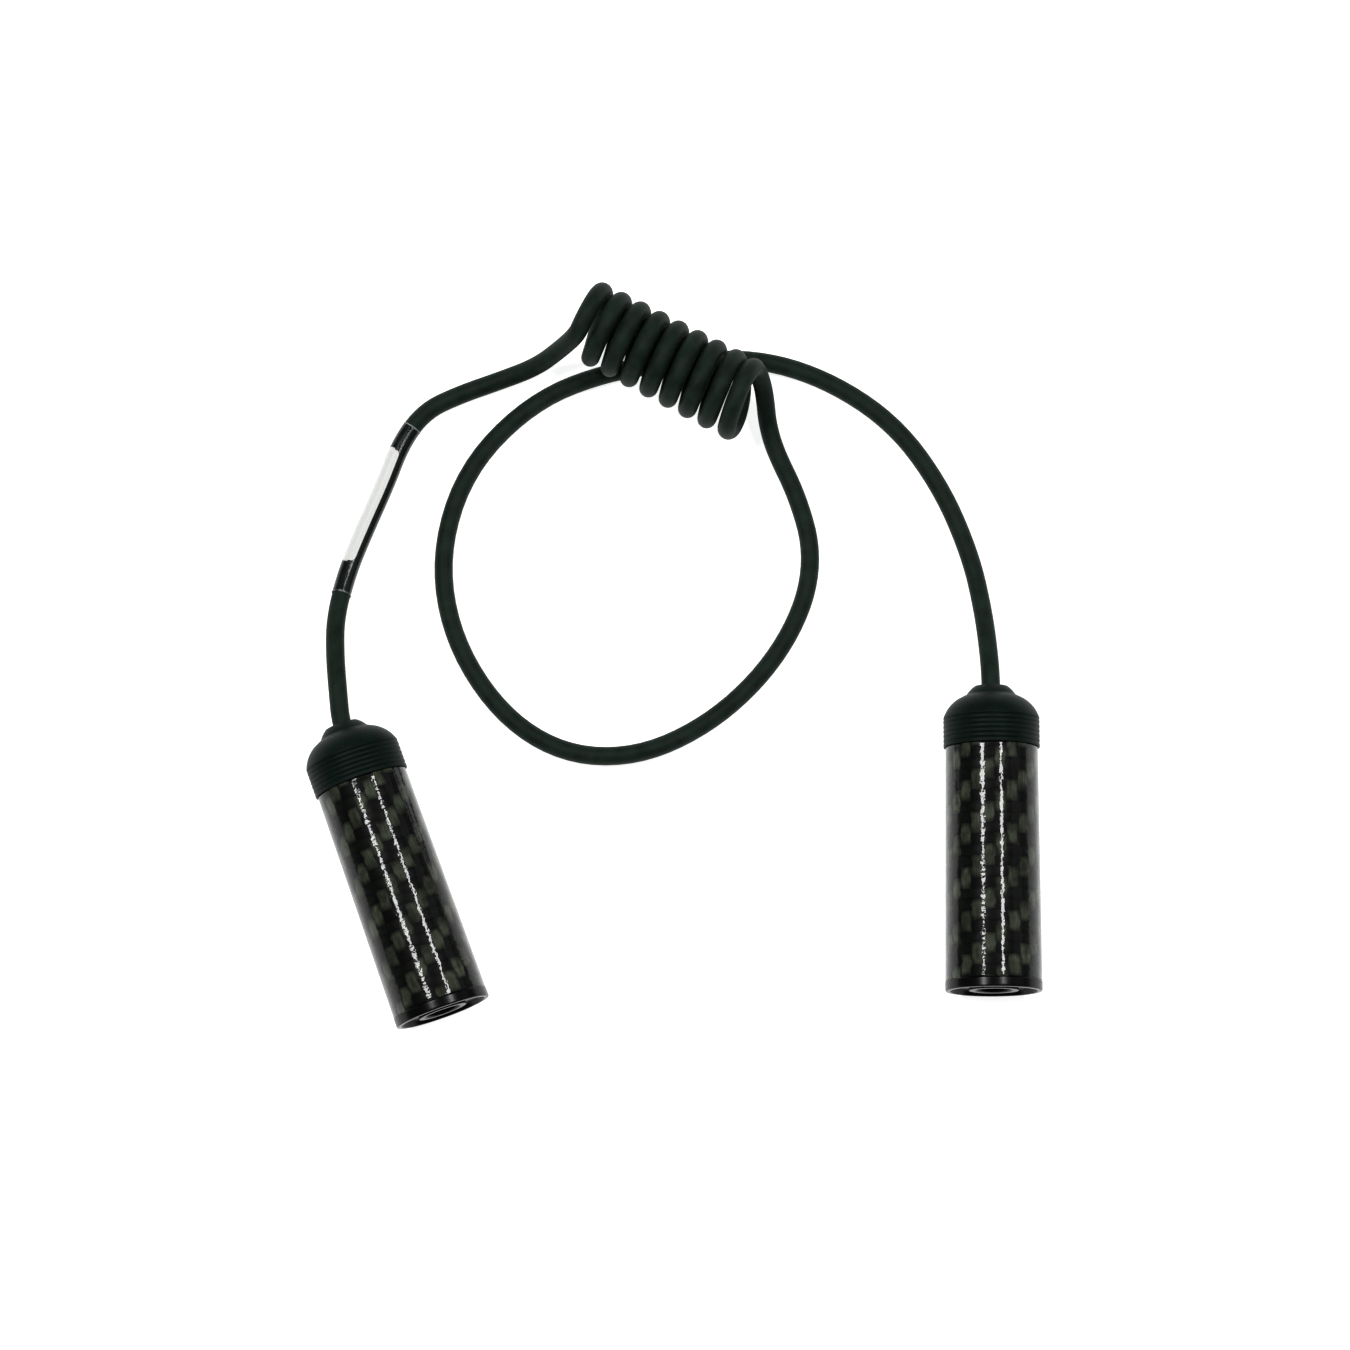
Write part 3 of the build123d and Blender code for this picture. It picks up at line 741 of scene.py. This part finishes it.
def wrap(name, line, turn_from, turn_to, radius_from, radius_to, corner, thickness, made):
    """A sheet wound round the cord: turns count from straight up towards the right of the line's
    direction, and corner rounds the sheet's own corners, in metres."""
    distances = [0.0]
    for before, after in zip(line, line[1:]):
        distances.append(distances[-1] + (after - before).length)
    total = distances[-1]
    half_width = abs(turn_to - turn_from) * pi * radius_from

    def place(share_along, share_round):
        wanted = share_along * total
        index = max(i for i, d in enumerate(distances) if d <= wanted + 1e-9)
        index = min(index, len(line) - 2)
        ahead = (line[index + 1] - line[index])
        part = (wanted - distances[index]) / ahead.length
        middle = line[index] + ahead * part
        before = (line[index] - line[max(index - 1, 0)]).normalized()
        after = (line[min(index + 2, len(line) - 1)] - line[index + 1]).normalized()
        direction = (before * (1 - part) + ahead.normalized() + after * part).normalized()
        right = direction.cross(Vector((0, 0, 1))).normalized()
        up = right.cross(direction)
        turn = turn_from + (turn_to - turn_from) * share_round
        radius = radius_from + (radius_to - radius_from) * share_round
        return middle + (up * cos(2 * pi * turn) + right * sin(2 * pi * turn)) * radius

    bm = bmesh.new()
    bmesh.ops.create_grid(bm, x_segments=max(2, round(total / (0.5 * MM))), y_segments=48, size=0.5)
    for vert in bm.verts:
        along, round_share = vert.co.x + 0.5, vert.co.y
        from_end = min(along, 1 - along) * total
        if corner > from_end:
            cut = corner - (corner**2 - (corner - from_end) ** 2) ** 0.5
            round_share *= 1 - cut / half_width
        vert.co = place(along, round_share + 0.5)
    bmesh.ops.recalc_face_normals(bm, faces=bm.faces)
    bmesh.ops.solidify(bm, geom=bm.faces[:], thickness=thickness)
    bmesh.ops.recalc_face_normals(bm, faces=bm.faces)
    return new_piece(name, bm, made)


label_line = line_stretch(
    (Vector(LEAD_A[4]) + Vector(LEAD_A[5])) / 2, (Vector(LEAD_A[8]) + Vector(LEAD_A[9])) / 2,
)
overwrap = wrap(
    "label_overwrap", label_line, WRAP_FROM, WRAP_TO, CORD_RADIUS + 0.03 * MM, CORD_RADIUS + 0.06 * MM,
    0.0, 0.02 * MM, film,
)
# painted highlight: a thin milky line along the over-wrap's edge where it overlaps itself
seam = wrap(
    "label_seam", label_line, 0.018, 0.034, CORD_RADIUS + 0.07 * MM, CORD_RADIUS + 0.07 * MM,
    0.0, 0.01 * MM, edge_highlight,
)
patch_line = label_line[round(len(label_line) * PATCH_FROM):round(len(label_line) * PATCH_TO)]
patch = wrap(
    "label_patch", patch_line, -0.34, 0.055, CORD_RADIUS + 0.10 * MM, CORD_RADIUS + 0.10 * MM,
    1.5 * MM, 0.015 * MM, paper,
)
# painted highlight: thin milky rings at the over-wrap's two cut ends
label_ends = [
    wrap(
        f"label_end_{place}", [end, end + (inner - end).normalized() * END_WIDTH], WRAP_FROM, WRAP_TO,
        CORD_RADIUS + 0.09 * MM, CORD_RADIUS + 0.11 * MM, 0.0, 0.02 * MM, edge_highlight,
    )
    for place, end, inner in (
        ("lower", label_line[0], label_line[1]), ("upper", label_line[-1], label_line[-2]),
    )
]
label_pieces = [overwrap, seam, patch, *label_ends]
for piece in label_pieces:
    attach(piece, "root")
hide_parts("cable_label")

# ---- CAD pieces that keep their shape -----------------------------------------------------
CAD_FINISHES = {
    "liner_tube": fibre, "bushing_nut": tin, "ground_frame": tin, "contact_block": phenolic,
    "block_screws": zinc, "solder_lugs": tin, "tip_spring": bronze, "ring_one_spring": bronze,
    "ring_two_spring": bronze, "cable_clamp": tin, "cord_end": jacket, "wires": insulation,
}
for stem, made in CAD_FINISHES.items():
    put_on([frame["nodes"][f"{stem}_{tag}"] for tag in SOCKETS], made)

for tag in SOCKETS:
    wires = frame["nodes"][f"wires_{tag}"].data
    layer = wires.uv_layers.new(name="quarter")
    back = PLACES[tag].inverted()
    for face in wires.polygons:
        middle = back @ face.center
        for index in face.loop_indices:
            layer.data[index].uv = ((atan2(middle.y, middle.x) / (2 * pi)) % 1.0, 0.5)


# ---- Floor and light ----------------------------------------------------------------------
def make_floor():
    bm = bmesh.new()
    bmesh.ops.create_grid(bm, x_segments=8, y_segments=8, size=3.0)
    bm.transform(Matrix.Translation((LOOK_AT.x, LOOK_AT.y, -0.02 * MM)))
    new_piece("floor", bm, studio_floor())


def make_light(name, lean, distance, behind, width, length, radiance):
    """A flat soft light overhead, its length along Y, leaning from the vertical by lean degrees and
    standing behind the object by behind metres."""
    data = bpy.data.lights.new(name, "AREA")
    data.shape = "RECTANGLE"
    data.size, data.size_y = width, length
    data.energy = radiance * pi * width * length
    light = bpy.data.objects.new(name, data)
    away = Vector((sin(radians(lean)), 0.0, cos(radians(lean))))
    along = Vector((0.0, 1.0, 0.0))
    light.location = LOOK_AT + away * distance + along * behind
    light.rotation_euler = Matrix((along.cross(away), along, away)).transposed().to_euler()
    bpy.context.scene.collection.objects.link(light)


def make_world():
    world = bpy.data.worlds.new("studio")
    bpy.context.scene.world = world
    world.use_nodes = True
    sky = world.node_tree.nodes["Background"]
    sky.inputs["Color"].default_value = colour("f6f8f8")
    sky.inputs["Strength"].default_value = 0.12


TUBE_LEAN, TUBE_DISTANCE, TUBE_RADIANCE = 23.0, 1.0, 36.0

make_floor()
make_light("tube_left_front", -TUBE_LEAN, TUBE_DISTANCE, -0.015, 0.13, 0.09, TUBE_RADIANCE)
make_light("tube_left_back", -TUBE_LEAN, TUBE_DISTANCE, 0.19, 0.13, 0.2, TUBE_RADIANCE)
make_light("tube_right", TUBE_LEAN, TUBE_DISTANCE, 0.185, 0.09, 0.34, TUBE_RADIANCE)
make_light("window_right", 60.0, 1.2, 0.4, 0.5, 1.2, 0.4)
make_world()
view = bpy.context.scene.view_settings
view.view_transform = "Standard"
view.gamma = 0.8             # deepens the blacks and keeps the floor white
